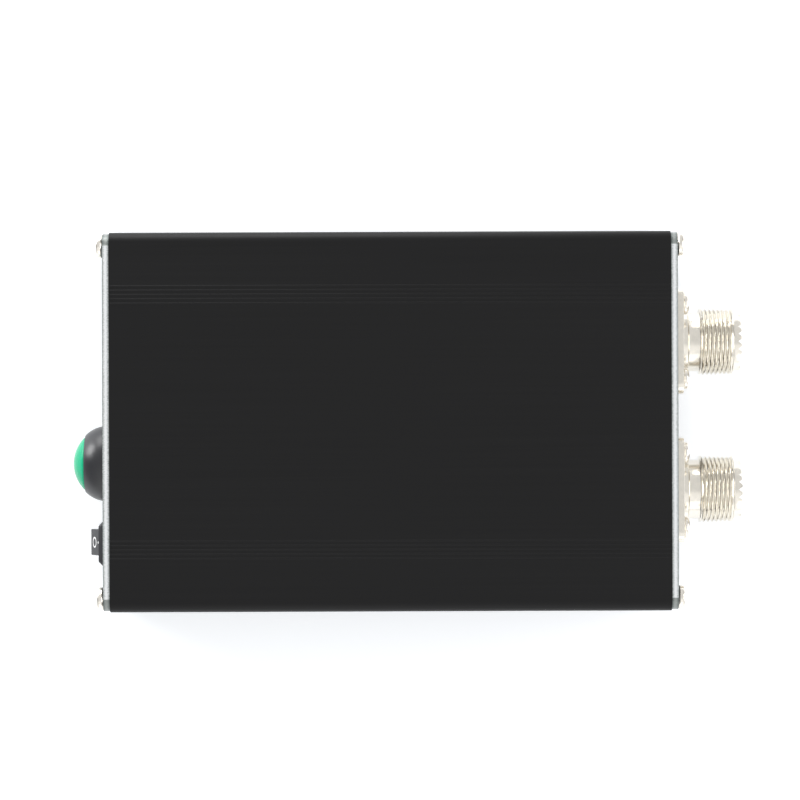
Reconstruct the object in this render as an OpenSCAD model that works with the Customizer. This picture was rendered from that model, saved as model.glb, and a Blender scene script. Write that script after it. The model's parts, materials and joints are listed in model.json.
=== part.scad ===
// Compact automatic antenna tuner in a split aluminium case.
// Frame: +Z up, origin at the centre of the underside, front panel faces -Y, rear panel faces +Y.
// All sizes are in millimetres.

/* [Case] */
// Width of the case
case_w = 88; // [86:1:96]
// Height of the case between its flat faces
case_h = 38; // [38:1:44]
// Length of the extruded shells, without the end panels
case_l = 130; // [130:1:150]
// Thickness of the shell's side walls
side_wall = 2.2; // [2:0.1:2.6]
// Thickness of the shell's top and bottom walls
face_wall = 2; // [1.8:0.1:2.4]
// Radius of the long outer edges
edge_r = 2.4; // [1.5:0.1:2.6]
// Thickness of the end panels
panel_t = 1.6; // [1.5:0.1:2]
// Number of fine ribs in each band on the top
rib_count = 5; // [3:1:7]
// Distance from one rib to the next
rib_pitch = 1; // [0.8:0.1:1.2]
// Distance of each band's centre from the middle of the case
rib_band_x = 29.5; // [27:0.5:32]

/* [Panel screws] */
// Half the distance between the corner screws across the case
corner_x = 41; // [40.8:0.1:41]
// Half the distance between the corner screws up the case
corner_z = 16; // [15.8:0.1:16]
// Diameter of a screw head
screw_head_d = 5.6; // [5.2:0.1:5.8]
// Height of a screw head
screw_head_h = 2; // [1.8:0.1:2.4]

/* [Sockets] */
// Distance of the input socket from the middle of the rear panel
input_x = 18.5; // [18.2:0.1:19.2]
// Distance of the antenna socket from the middle of the rear panel
antenna_x = 16.3; // [15.7:0.1:16.6]
// Side of the socket's square flange
flange_side = 24.6; // [24:0.1:25]
// Outer diameter of the socket's coupling thread
thread_d = 15.9; // [15.5:0.1:16]
// Distance from the panel's outer face to the socket's mouth
socket_reach = 16; // [15.8:0.1:17]

/* [Controls] */
// Distance of the tune button from the middle of the front panel
button_x = 9.8; // [9:0.1:11]
// Travel of the tune button
button_travel = 2.5; // [1.5:0.1:2.5]
// Distance of the power rocker from the middle of the front panel
rocker_x = 28.5; // [28.2:0.1:29.4]
// Full swing of the power rocker, in degrees
rocker_swing = 28; // [24:1:28]
// Distance of the display from the middle of the front panel
display_x = 20; // [19:0.5:21]

/* [Power inlet] */
// Distance of the power inlet from the middle of the rear panel
jack_x = 36.2; // [36:0.1:36.3]
// Diameter of the inlet's centre pin
jack_pin_d = 2.1; // [2:0.1:2.1]

/* [Tuning network] */
// Number of relays in each of the two rows
relay_count = 7; // [5:1:7]
// Turns on the smallest toroidal coil; each next one has two more
first_turns = 8; // [6:1:10]
// Diameter of the coil wire
wire_d = 0.8; // [0.6:0.1:0.8]

/* [Hidden] */
$fn = 48;

mid_z = case_h / 2;
front_in = -case_l / 2;              // inner face of the front panel
rear_in = case_l / 2;                // inner face of the rear panel
front_out = front_in - panel_t;      // outer face of the front panel
rear_out = rear_in + panel_t;        // outer face of the rear panel
inner_x = case_w / 2 - side_wall;    // inner face of a side wall
inner_z = mid_z - face_wall;         // inner face of a top or bottom wall, from mid height
shell_gap = 0.15;                    // half the seam between the two shells
tongue_w = 0.8;
tongue_h = 1;
rib_w = 0.45;
rib_h = 0.2;
panel_inset = 0.3;                   // how far the panels stay inside the shells' outline
panel_r = 2.8;
boss_x = corner_x - 2.5;             // inner sides of the solid corners that take the panel screws
boss_z = corner_z - 2.5;
tap_r = 1.5;
screw_r = 1.46;
screw_hole_r = 1.65;
corner_screw_l = 8;
rail_t = 1.2;                        // rails that hold the board down on the solid corners
rail_reach = 1.6;

board_t = 1.6;
board_z = mid_z - boss_z;            // underside of the board
board_top = board_z + board_t;
board_w = 2 * inner_x - 0.4;
board_l = case_l - 0.6;
board_notch_w = 68;
board_notch_l = 7;

flange_t = 1.9;
flange_r = 2.6;
flange_hole = 8.75;                  // flange screws, from the socket's axis
neck_r = 7;
collar_r = 7.5;
collar_l = 1.6;
thread_start = 6.3;                  // from the panel's outer face
thread_end = 14;
mouth_r = 6.1;
mouth_depth = 8.7;
crown_notches = 24;
spigot_r = 7.8;
spigot_l = 3.6;                      // part of the socket behind the panel's outer face
contact_r = 3;
contact_bore_r = 2.05;
contact_bore_l = 10;
insulator_back = 6;                  // insulator behind the panel's outer face
cup_r = 1.7;
cup_bore_r = 1.1;
cup_l = 5;
socket_screw_l = 8;
socket_head_d = 5;
socket_head_h = 1.5;
nut_h = 2.4;
nut_af = 5.5;
lug_t = 0.6;

bezel_r = 8.9;
bezel_h = 5.5;
bezel_skirt = 0.5;                   // straight foot below the bezel's dome
bezel_dome = 7.75;                   // height the bezel's dome would have without its opening
cap_r = 6.2;
cap_play = 0.15;                     // between the cap and the bezel
cap_proud = 8.4;
cap_crown = 2.6;                     // height of the cap's domed crown
cap_skirt = 3.5;                     // from the panel to the cap's underside
recess_floor = 0.8;                  // from the panel to the floor of the bezel's recess
barrel_r = 5.9;
barrel_l = 17;
barrel_bore_r = 4.7;
barrel_head = 2.2;                   // thickness of the barrel's guide wall behind the panel's face
guide_r = 2.56;
rod_r = 2.5;
collar_rod_r = 4.3;
collar_rod_t = 1.4;
collar_rod_y = 3.4;                  // from the panel's outer face to the collar's front
rod_end = 10.6;                      // from the panel's outer face to the rod's end
bridge_r = 3.2;
bridge_t = 0.5;
base_y = 14;                         // from the panel's outer face to the base
spring_y = collar_rod_y + collar_rod_t;
spring_r = 3.9;
spring_wire_r = 0.25;
spring_turns = 6;
blade_t = 0.8;
button_nut_af = 15;
button_nut_t = 2.5;

bezel_w = 11;                        // rocker bezel across the case
bezel_l = 15.2;                      // rocker bezel up the case
rocker_bezel_t = 2;
rocker_rim_t = 0.9;                  // straight foot below the bezel's chamfer
rocker_chamfer = 1.3;                // taken off each long side by the chamfer
rocker_hole_w = 6.8;
rocker_hole_l = 13.4;
housing_w = 9;
housing_l = 14.2;
housing_depth = 12;
housing_floor = 1.4;
pivot_depth = 0.6;                   // pivot behind the panel's outer face
pivot_r = 0.8;
pivot_hole_r = 0.86;
lever_w = 6.2;
lever_face = 2.65;                   // from the pivot to each face of the lever
lever_tip = 5.7;                     // from the lever's middle to each tip
lever_side = 6.4;                    // from the lever's middle to each shoulder
seesaw_y = front_out + pivot_depth + 5.7;    // pivot line of the contact bar
seesaw_pivot_r = 0.45;
seesaw_tilt = 0.4 * rocker_swing;
seesaw_l = 9;
seesaw_w = 3;
seesaw_t = 0.5;
terminal_w = 4.8;

window_w = 26;
window_h = 15;
window_t = 1;
glass_w = 26.7;
glass_h = 19;
glass_t = 1.4;
oled_w = 27.3;
oled_h = 27.8;
oled_t = 1.2;
oled_gap = 2.6;                      // from the panel's inner face to the board
oled_hole = 11.8;

jack_flange_r = 5.1;
jack_flange_t = 0.9;
jack_r = 3.95;
jack_l = 12;
jack_bore_r = 2.75;
jack_bore_l = 9.5;
jack_floor = jack_flange_t - jack_bore_l;    // floor of the bore, from the panel's outer face
jack_pin_root_r = 1.4;
jack_nut_af = 10.8;

relay_pitch = 12.2;
relay_size = [19, 10, 10.6];
relay_x = 29;
relay_y = 2;                         // middle of the two rows along the case
relay_lift = 0.3;
core_out_r = 7.4;
core_in_r = 4.3;
core_h = 4.6;
core_lift = 1.4;
coupler_y = 47;
coupler_z = board_top + 7.4;

function sum_to(n) = n * (n + 1) / 2;
function unit(v) = v / norm(v);

// Points of a path, its directions, and a frame carried along it without twisting.
function directions(path) = [
    for (i = [0:len(path) - 1])
        unit(path[min(i + 1, len(path) - 1)] - path[max(i - 1, 0)])
];
function first_normal(d) = unit(cross(d, abs(d.z) < 0.9 ? [0, 0, 1] : [1, 0, 0]));
function carried(dirs, i, normal) =
    i == len(dirs) ? []
    : let (n = unit(normal - dirs[i] * (normal * dirs[i]))) concat([n], carried(dirs, i + 1, n));

// A round wire of radius r along a path.
module wire(path, r, sides = 6) {
    dirs = directions(path);
    normals = carried(dirs, 0, first_normal(dirs[0]));
    rings = len(path);
    points = [
        for (i = [0:rings - 1])
            for (k = [0:sides - 1])
                path[i]
                + r * cos(360 * k / sides) * normals[i]
                + r * sin(360 * k / sides) * cross(dirs[i], normals[i])
    ];
    walls = [
        for (i = [0:rings - 2])
            for (k = [0:sides - 1])
                [
                    i * sides + k,
                    i * sides + (k + 1) % sides,
                    (i + 1) * sides + (k + 1) % sides,
                    (i + 1) * sides + k
                ]
    ];
    start = [for (k = [sides - 1:-1:0]) k];
    end = [for (k = [0:sides - 1]) (rings - 1) * sides + k];
    polyhedron(points, concat([start], walls, [end]), convexity = 6);
}

// A smooth curve through four control points.
function bend(a, b, c, d, steps = 12) = [
    for (i = [0:steps])
        let (t = i / steps, s = 1 - t)
            s * s * s * a + 3 * s * s * t * b + 3 * s * t * t * c + t * t * t * d
];

// An upright rounded rectangle, centred, drawn across X and Z, from y to y + t.
module plate(w, h, r, y, t) {
    translate([0, y + t, 0])
        rotate([90, 0, 0])
            linear_extrude(t)
                rounded(w, h, r);
}

module rounded(w, h, r) {
    square([w - 2 * r, h], center = true);
    square([w, h - 2 * r], center = true);
    for (sx = [-1, 1], sy = [-1, 1])
        translate([sx * (w / 2 - r), sy * (h / 2 - r)])
            circle(r);
}

// A round bar along Y from y to y + l.
module bar(r, y, l) {
    translate([0, y, 0])
        rotate([-90, 0, 0])
            cylinder(r = r, h = l);
}

// A box centred across X and Z, from y to y + l.
module block(w, h, y, l) {
    translate([-w / 2, y, -h / 2])
        cube([w, l, h]);
}

// A hexagonal nut along Y with its flats facing X.
module hex_nut(af, hole_r, y, t) {
    difference() {
        translate([0, y, 0])
            rotate([-90, 30, 0])
                cylinder(d = af / cos(30), h = t, $fn = 6);
        bar(hole_r, y - 1, t + 2);
    }
}

// A pan-head screw along +Y whose head sits in front of y.
module pan_screw(y, length, head_d = screw_head_d, head_h = screw_head_h, r = screw_r) {
    dome = 0.7 * head_d;
    difference() {
        union() {
            translate([0, y, 0])
                rotate([90, 0, 0])
                    intersection() {
                        cylinder(d = head_d, h = head_h);
                        translate([0, 0, head_h - dome])
                            sphere(r = dome);
                    }
            bar(r, y - 0.01, length + 0.01);
        }
        for (turn = [0, 90])
            translate([0, y - head_h, 0])
                rotate([0, turn, 0])
                    block(0.6, 0.5 * head_d, -1, 1 + 0.45 * head_h);
    }
}

module at_corners() {
    for (sx = [-1, 1], sz = [-1, 1])
        translate([sx * corner_x, 0, mid_z + sz * corner_z])
            children();
}

module at_sockets() {
    for (x = [-input_x, antenna_x])
        translate([x, 0, mid_z])
            children();
}

module at_flange_holes() {
    for (sx = [-1, 1], sz = [-1, 1])
        translate([sx * flange_hole, 0, sz * flange_hole])
            children();
}

// ---- Case ----

// Section of one shell across X and Z, open towards the seam at z = 0.
module shell_section() {
    difference() {
        intersection() {
            rounded(case_w, case_h, edge_r);
            translate([-case_w / 2, shell_gap])
                square([case_w, case_h]);
        }
        square([2 * inner_x, 2 * boss_z], center = true);
        square([2 * boss_x, 2 * inner_z], center = true);
        for (side = [-1, 1])
            translate([side * corner_x, corner_z])
                circle(tap_r);
    }
    for (side = [-1, 1])
        translate([side * (inner_x - rail_reach / 2 + 0.2), boss_z - board_t - 0.2 - rail_t / 2])
            square([rail_reach + 0.4, rail_t], center = true);
}

module shell(tongue_side) {
    rotate([90, 0, 0])
        translate([0, 0, -case_l / 2])
            linear_extrude(case_l)
                difference() {
                    union() {
                        shell_section();
                        translate([tongue_side * (case_w / 2 - side_wall / 2) - tongue_w / 2, -tongue_h])
                            square([tongue_w, tongue_h + 1]);
                    }
                    translate([-tongue_side * (case_w / 2 - side_wall / 2) - tongue_w / 2 - 0.1, -1])
                        square([tongue_w + 0.2, tongue_h + 1 + 0.3]);
                }
}

module top_shell() {
    color([0.16, 0.16, 0.17])
        translate([0, 0, mid_z]) {
            shell(1);
            for (side = [-1, 1], i = [0:rib_count - 1])
                translate([
                    side * rib_band_x + (i - (rib_count - 1) / 2) * rib_pitch - rib_w / 2,
                    -case_l / 2,
                    case_h / 2 - 0.1
                ])
                    cube([rib_w, case_l, rib_h + 0.1]);
        }
}

module bottom_shell() {
    color([0.16, 0.16, 0.17])
        translate([0, 0, mid_z])
            mirror([0, 0, 1])
                shell(-1);
}

module panel_blank(y) {
    translate([0, 0, mid_z])
        difference() {
            plate(case_w - 2 * panel_inset, case_h - 2 * panel_inset, panel_r, y, panel_t);
            for (sx = [-1, 1], sz = [-1, 1])
                translate([sx * corner_x, 0, sz * corner_z])
                    bar(screw_hole_r, y - 1, panel_t + 2);
        }
}

module front_panel() {
    color([0.08, 0.08, 0.08])
        difference() {
            panel_blank(front_out);
            translate([button_x, 0, mid_z])
                bar(barrel_r + 0.1, front_out - 1, panel_t + 2);
            translate([rocker_x, 0, mid_z])
                block(housing_w + 0.2, housing_l + 0.2, front_out - 1, panel_t + 2);
            translate([-display_x, 0, mid_z])
                block(window_w + 0.2, window_h + 0.2, front_out - 1, panel_t + 2);
        }
}

module rear_panel() {
    color([0.08, 0.08, 0.08])
        difference() {
            panel_blank(rear_in);
            at_sockets() {
                bar(spigot_r + 0.15, rear_in - 1, panel_t + 2);
                at_flange_holes()
                    bar(screw_hole_r, rear_in - 1, panel_t + 2);
            }
            translate([jack_x, 0, mid_z])
                bar(jack_r + 0.1, rear_in - 1, panel_t + 2);
        }
}

module front_panel_screws() {
    color("silver")
        at_corners()
            pan_screw(front_out, corner_screw_l);
}

module rear_panel_screws() {
    color("silver")
        at_corners()
            mirror([0, 1, 0])
                pan_screw(-rear_out, corner_screw_l);
}

// ---- Display ----

module at_display() {
    translate([-display_x, 0, mid_z])
        children();
}

module at_display_holes() {
    at_display()
        for (sx = [-1, 1], sz = [-1, 1])
            translate([sx * oled_hole, 0, sz * oled_hole])
                children();
}

module display_window() {
    color([0.1, 0.1, 0.12, 0.6])
        at_display() {
            plate(window_w, window_h, 1, front_out, panel_t + 0.1);
            block(window_w + 2, window_h + 3, front_in, window_t);
        }
}

module display_glass() {
    color([0.05, 0.05, 0.08])
        at_display()
            block(glass_w - 3, glass_h - 0.6, front_in + oled_gap - glass_t, glass_t);
}

module display_board() {
    color([0.1, 0.2, 0.5])
        difference() {
            at_display()
                block(oled_w, oled_h, front_in + oled_gap, oled_t);
            at_display_holes()
                bar(1.1, front_in + oled_gap - 1, oled_t + 2);
        }
    color("gold")
        at_display()
            for (i = [-1.5:1:1.5])
                translate([i * 2.54, 0, oled_h / 2 - 1.6])
                    block(0.64, 0.64, front_in + oled_gap + oled_t, 2.4);
}

module display_spacers() {
    color("gold")
        at_display_holes()
            hex_nut(3.2, 1, front_in, oled_gap);
}

module display_screws() {
    color("silver")
        at_display_holes()
            mirror([0, 1, 0])
                pan_screw(-(front_in + oled_gap + oled_t), 3.4, 3.8, 1.3, 0.97);
}

module display_cable() {
    color("dimgray")
        for (i = [-1.5:1:1.5])
            translate([-display_x + i * 2.54, 0, 0])
                wire(
                    bend(
                        [0, front_in + oled_gap + oled_t + 2.5, mid_z + oled_h / 2 - 1.6],
                        [0, -48, mid_z + oled_h / 2 - 1.6],
                        [0, -50, 24],
                        [0, -50, board_top + 8.7]
                    ),
                    0.6
                );
}

// ---- Tune button ----

module at_button() {
    translate([button_x, 0, mid_z])
        children();
}

module button_body() {
    recess_r = cap_r + cap_play;
    color([0.12, 0.12, 0.13])
        at_button()
            translate([0, front_out, 0])
                rotate([-90, 0, 0])
                    rotate_extrude($fn = 96)
                        polygon(concat(
                            [
                                [guide_r, -recess_floor],
                                [recess_r, -recess_floor],
                                [recess_r, -bezel_h]
                            ],
                            [
                                for (i = [8:-1:0])
                                    let (h = (bezel_h - bezel_skirt) * i / 8)
                                        [bezel_r * sqrt(1 - pow(h / bezel_dome, 2)), -h - bezel_skirt]
                            ],
                            [
                                [bezel_r, 0],
                                [barrel_r, 0],
                                [barrel_r, barrel_l],
                                [barrel_bore_r, barrel_l],
                                [barrel_bore_r, barrel_head],
                                [guide_r, barrel_head]
                            ]
                        ));
}

module button_cap() {
    ball_r = (cap_r * cap_r + cap_crown * cap_crown) / (2 * cap_crown);
    color([0.25, 0.85, 0.62])
        at_button()
            translate([0, front_out - cap_skirt, 0])
                rotate([90, 0, 0])
                    intersection() {
                        cylinder(r = cap_r, h = cap_proud - cap_skirt, $fn = 96);
                        translate([0, 0, cap_proud - cap_skirt - ball_r])
                            sphere(r = ball_r, $fn = 96);
                    }
}

module button_plunger() {
    color("white")
        at_button() {
            bar(rod_r, front_out - cap_skirt, cap_skirt + rod_end);
            bar(collar_rod_r, front_out + collar_rod_y, collar_rod_t);
        }
    color("gold")
        at_button()
            bar(bridge_r, front_out + rod_end, bridge_t);
}

module button_spring() {
    steps = 14;
    length = base_y - spring_y - 2 * spring_wire_r - 0.1;
    color("silver")
        at_button()
            translate([0, front_out + spring_y + spring_wire_r + 0.05, 0])
                wire(
                    [
                        for (i = [0:spring_turns * steps])
                            let (a = 360 * i / steps)
                                [
                                    spring_r * cos(a),
                                    length * i / (spring_turns * steps),
                                    spring_r * sin(a)
                                ]
                    ],
                    spring_wire_r
                );
}

module button_base() {
    color([0.12, 0.12, 0.13])
        at_button()
            difference() {
                bar(barrel_bore_r, front_out + base_y, barrel_l - base_y + 2);
                for (side = [-1, 1])
                    translate([side * 2.2, 0, 0])
                        block(blade_t, 2.8, front_out + base_y - 1, 8);
            }
}

module button_terminals() {
    color("gold")
        at_button()
            for (side = [-1, 1])
                translate([side * 2.2, 0, 0])
                    block(blade_t, 2.8, front_out + base_y - 0.1, barrel_l - base_y + 7);
}

module button_nut() {
    color("silver")
        at_button()
            hex_nut(button_nut_af, barrel_r, front_in, button_nut_t);
}

module button_wires() {
    tip = front_out + barrel_l + 7;
    color("firebrick")
        for (side = [-1, 1])
            wire(
                bend(
                    [button_x + side * 2.2, tip, mid_z],
                    [button_x + side * 2.2, tip + 6, mid_z],
                    [button_x + side * 1.27 - 4, -38, 20],
                    [button_x + side * 1.27 - 4, -38, board_top + 8.7]
                ),
                0.6
            );
}

// ---- Power rocker ----

module at_rocker() {
    translate([rocker_x, 0, mid_z])
        children();
}

module at_pivot() {
    at_rocker()
        translate([0, front_out + pivot_depth, 0])
            children();
}

module rocker_housing() {
    color([0.1, 0.1, 0.11])
        at_rocker()
            difference() {
                union() {
                    plate(bezel_w, bezel_l, 1.2, front_out - rocker_rim_t, rocker_rim_t);
                    hull() {
                        plate(bezel_w, bezel_l, 1.2, front_out - rocker_rim_t, 0.01);
                        plate(
                            bezel_w - 2 * rocker_chamfer,
                            bezel_l - rocker_chamfer,
                            0.6,
                            front_out - rocker_bezel_t,
                            0.01
                        );
                    }
                    block(housing_w, housing_l, front_out - 0.1, housing_depth + 0.1);
                    for (side = [-1, 1])
                        translate([-2, front_in + 0.1, side * housing_l / 2])
                            rotate([90, 0, 90])
                                linear_extrude(4)
                                    polygon([[0, -side * 0.2], [0, side * 0.8], [4, -side * 0.2]]);
                }
                block(rocker_hole_w, rocker_hole_l, front_out - 2, housing_depth + 2 - housing_floor);
                for (z = [0, -4.2])
                    translate([0, 0, z])
                        block(terminal_w, blade_t, front_out + 1, housing_depth);
                translate([-housing_w / 2 - 0.05, front_out + pivot_depth, 0])
                    rotate([0, 90, 0])
                        cylinder(r = pivot_hole_r, h = housing_w + 0.1);
            }
}

// Side outline of the lever about its pivot, level between its two positions.
module lever_outline() {
    half = rocker_swing / 2;
    tip_rise = (lever_face + lever_tip * sin(half)) / cos(half);
    polygon([
        [0, lever_face / cos(half)],
        [lever_tip, tip_rise],
        [lever_side, 1],
        [3.4, -1.6],
        [-3.4, -1.6],
        [-lever_side, 1],
        [-lever_tip, tip_rise]
    ]);
}

module rocker_lever() {
    color([0.2, 0.2, 0.22])
        at_pivot() {
            rotate([-rocker_swing / 2, 0, 0])
                mirror([0, 1, 0])
                    difference() {
                        translate([-lever_w / 2, 0, 0])
                            rotate([90, 0, 90])
                                linear_extrude(lever_w)
                                    rotate(90)
                                        mirror([0, 1])
                                            lever_outline();
                        bar(1, -6, 6.4);
                    }
            translate([-housing_w / 2, 0, 0])
                rotate([0, 90, 0])
                    cylinder(r = pivot_r, h = housing_w);
        }
}

module rocker_plunger() {
    tip = 4.2;                       // from the pivot to the centre of the plunger's round tip
    color("gold")
        at_pivot()
            rotate([-rocker_swing / 2, 0, 0]) {
                bar(0.9, 0.9, tip - 0.9);
                translate([0, tip, 0])
                    sphere(r = 0.9);
            }
}

module rocker_contact() {
    color("gold")
        at_rocker()
            translate([0, seesaw_y, 0])
                rotate([-seesaw_tilt, 0, 0]) {
                    block(seesaw_w, seesaw_l, -seesaw_t / 2, seesaw_t);
                    rotate([0, 90, 0])
                        cylinder(r = seesaw_pivot_r, h = seesaw_w, center = true);
                }
}

module rocker_terminals() {
    back = front_out + housing_depth + 7;
    color("gold")
        at_rocker() {
            block(terminal_w - 0.2, blade_t - 0.1, seesaw_y + 0.7, back - seesaw_y - 0.7);
            translate([0, 0, -4.2])
                block(terminal_w - 0.2, blade_t - 0.1, seesaw_y + 1.3, back - seesaw_y - 1.3);
        }
}

module rocker_wires() {
    tip = front_out + housing_depth + 7;
    color("firebrick")
        for (i = [0, 1])
            wire(
                bend(
                    [rocker_x, tip + 0.1, mid_z - 4.2 * i],
                    [rocker_x, tip + 3, mid_z - 4.2 * i],
                    [15.3 - 2.54 * i, -34, 32 - 2 * i],
                    [15.3 - 2.54 * i, -34, board_top + 8.7]
                ),
                0.8
            );
}

// ---- Coaxial sockets ----

// The threaded barrel is drawn at the thread's outer diameter.
module socket_shell() {
    difference() {
        union() {
            plate(flange_side, flange_side, flange_r, rear_out, flange_t);
            bar(collar_r, rear_out + flange_t, collar_l);
            bar(neck_r, rear_out + flange_t, thread_start - flange_t);
            bar(thread_d / 2, rear_out + thread_start, thread_end - thread_start);
            bar(neck_r, rear_out + thread_end, socket_reach - thread_end);
            bar(spigot_r, rear_out - spigot_l, spigot_l + 0.1);
        }
        bar(mouth_r, rear_out - spigot_l - 1, spigot_l + socket_reach + 2);
        at_flange_holes()
            bar(screw_hole_r, rear_out - 1, flange_t + 2);
        for (i = [0:crown_notches - 1])
            rotate([0, 360 * i / crown_notches, 0])
                translate([0, rear_out + socket_reach - 0.5, -0.3])
                    cube([neck_r + 1, 1, 0.6]);
    }
}

module socket_insulator() {
    front = rear_out + socket_reach - mouth_depth;
    difference() {
        bar(mouth_r, rear_out - insulator_back, front - rear_out + insulator_back);
        bar(contact_r, rear_out - insulator_back - 1, front - rear_out + insulator_back + 2);
    }
}

module socket_contact() {
    front = rear_out + socket_reach - mouth_depth;
    difference() {
        union() {
            bar(contact_r, rear_out - insulator_back, front - rear_out + insulator_back);
            bar(cup_r, rear_out - insulator_back - cup_l, cup_l + 0.1);
        }
        bar(contact_bore_r, front - contact_bore_l, contact_bore_l + 1);
        bar(cup_bore_r, rear_out - insulator_back - cup_l - 1, 4);
    }
}

module input_socket_shell() {
    color([0.75, 0.72, 0.66])
        translate([-input_x, 0, mid_z])
            socket_shell();
}

module input_socket_insulator() {
    color("ivory")
        translate([-input_x, 0, mid_z])
            socket_insulator();
}

module input_socket_contact() {
    color("gold")
        translate([-input_x, 0, mid_z])
            socket_contact();
}

module antenna_socket_shell() {
    color([0.75, 0.72, 0.66])
        translate([antenna_x, 0, mid_z])
            socket_shell();
}

module antenna_socket_insulator() {
    color("ivory")
        translate([antenna_x, 0, mid_z])
            socket_insulator();
}

module antenna_socket_contact() {
    color("gold")
        translate([antenna_x, 0, mid_z])
            socket_contact();
}

module socket_screws() {
    color("silver")
        at_sockets()
            at_flange_holes()
                mirror([0, 1, 0])
                    pan_screw(-(rear_out + flange_t), socket_screw_l, socket_head_d, socket_head_h);
}

module socket_nuts() {
    color("silver")
        at_sockets()
            at_flange_holes()
                hex_nut(nut_af, tap_r, rear_in - lug_t - nut_h, nut_h);
}

// A ring under one nut of each socket with a solder tail, and plain washers under the others.
module socket_ground_lugs() {
    color("silver")
        at_sockets()
            difference() {
                union() {
                    at_flange_holes()
                        bar(2.7, rear_in - lug_t, lug_t);
                    translate([-flange_hole - 1.5, rear_in - lug_t, -flange_hole + 1.5])
                        cube([3, lug_t, 7]);
                }
                at_flange_holes()
                    bar(screw_hole_r, rear_in - 1, 2);
                bar(spigot_r + 0.1, rear_in - 3, 5);
            }
}

module socket_wires() {
    cup_end = rear_out - insulator_back - cup_l;
    color([0.7, 0.45, 0.3])
        at_sockets()
            wire(
                bend(
                    [0, cup_end + 1.5, 0],
                    [0, cup_end - 4, 0],
                    [0, cup_end - 5, -4],
                    [0, cup_end - 5, board_top - mid_z - 0.5]
                ),
                0.9
            );
}

// ---- Power inlet ----

module at_jack() {
    translate([jack_x, 0, mid_z])
        children();
}

module jack_body() {
    color([0.1, 0.1, 0.1])
        at_jack()
            difference() {
                union() {
                    bar(jack_flange_r, rear_out, jack_flange_t);
                    bar(jack_r, rear_out - jack_l, jack_l + 0.1);
                }
                bar(jack_bore_r, rear_out + jack_flange_t - jack_bore_l, jack_bore_l + 1);
                bar(jack_pin_root_r, rear_out - jack_l - 1, jack_l);
            }
}

module jack_pin() {
    color("silver")
        at_jack() {
            bar(jack_pin_root_r, rear_out - jack_l - 4, jack_l + 4 + jack_floor);
            bar(jack_pin_d / 2, rear_out + jack_floor, 0.1 - jack_floor);
        }
}

module jack_nut() {
    color("silver")
        at_jack()
            hex_nut(jack_nut_af, jack_r, rear_in - 2, 2);
}

module jack_wires() {
    color("firebrick")
        wire(
            bend(
                [jack_x, rear_out - jack_l - 4, mid_z],
                [jack_x, rear_out - jack_l - 9, mid_z],
                [34, 50, mid_z],
                [34, 50, board_top + 0.1]
            ),
            0.8
        );
}

// ---- Main board ----

module main_board() {
    color([0.05, 0.3, 0.15])
        translate([0, 0, board_z])
            difference() {
                translate([-board_w / 2, -board_l / 2, 0])
                    cube([board_w, board_l, board_t]);
                for (end = [-1, 1])
                    translate([
                        -board_notch_w / 2,
                        end * (board_l - board_notch_l) / 2 - board_notch_l / 2 - 0.1,
                        -1
                    ])
                        cube([board_notch_w, board_notch_l + 0.2, board_t + 2]);
                for (x = [-input_x, antenna_x])
                    translate([x, rear_out - insulator_back - cup_l - 5, -1])
                        cylinder(r = 1, h = board_t + 2);
            }
}

module at_relays() {
    for (side = [-1, 1], i = [0:relay_count - 1])
        translate([side * relay_x, relay_y + (i - (relay_count - 1) / 2) * relay_pitch, board_top])
            children();
}

module relays() {
    color([0.9, 0.9, 0.88])
        at_relays()
            translate([-relay_size.x / 2, -relay_size.y / 2, relay_lift])
                cube(relay_size);
}

module relay_leads() {
    color("silver")
        at_relays()
            for (i = [-3, -1, 1, 3], side = [-1, 1])
                translate([i * 2.54 - 0.3, side * 3.8 - 0.25, 0])
                    cube([0.6, 0.5, relay_lift]);
}

// The k-th of four toroids, set out two by two.
module at_toroid(k) {
    translate([
        (k % 2 == 0 ? -1 : 1) * 9,
        4 + 20 * floor(k / 2),
        board_top + core_lift + core_h / 2
    ])
        children();
}

module ring_core(out_r, in_r, h) {
    rotate_extrude($fn = 72)
        translate([(out_r + in_r) / 2, 0])
            rounded(out_r - in_r, h, 0.5);
}

// Turns of wire around a ring core, spread over 300 degrees.
module ring_winding(out_r, in_r, h, turns, d) {
    steps = 12;
    mean_r = (out_r + in_r) / 2;
    a = 1.19 * ((out_r - in_r) / 2 + d / 2);
    b = 1.19 * (h / 2 + d / 2);
    wire(
        [
            for (i = [0:turns * steps])
                let (
                    t = 360 * i / steps,
                    around = 300 * i / (turns * steps) + 30,
                    r = mean_r + a * sign(cos(t)) * sqrt(abs(cos(t))),
                    z = b * sign(sin(t)) * sqrt(abs(sin(t)))
                )
                    [r * cos(around), r * sin(around), z]
        ],
        d / 2
    );
}

module toroid_cores() {
    color([0.7, 0.15, 0.12])
        for (k = [0:3])
            at_toroid(k)
                ring_core(core_out_r, core_in_r, core_h);
}

module toroid_windings() {
    color([0.72, 0.4, 0.22])
        for (k = [0:3])
            at_toroid(k)
                ring_winding(core_out_r, core_in_r, core_h, first_turns + 2 * k, wire_d);
}

module air_coils() {
    steps = 14;
    coil_r = 3.6;
    color([0.72, 0.4, 0.22])
        for (k = [0:2])
            translate([-11 + 11 * k, -20, board_top + coil_r + 0.8]) {
                turns = 3 + k;
                length = 1.6 * turns;
                wire(
                    concat(
                        [[coil_r, -length / 2, -coil_r - 0.7]],
                        [
                            for (i = [0:turns * steps])
                                let (a = 360 * i / steps)
                                    [coil_r * cos(a), length * (i / (turns * steps) - 0.5), coil_r * sin(a)]
                        ],
                        [[coil_r, length / 2, -coil_r - 0.7]]
                    ),
                    wire_d / 2
                );
            }
}

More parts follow.
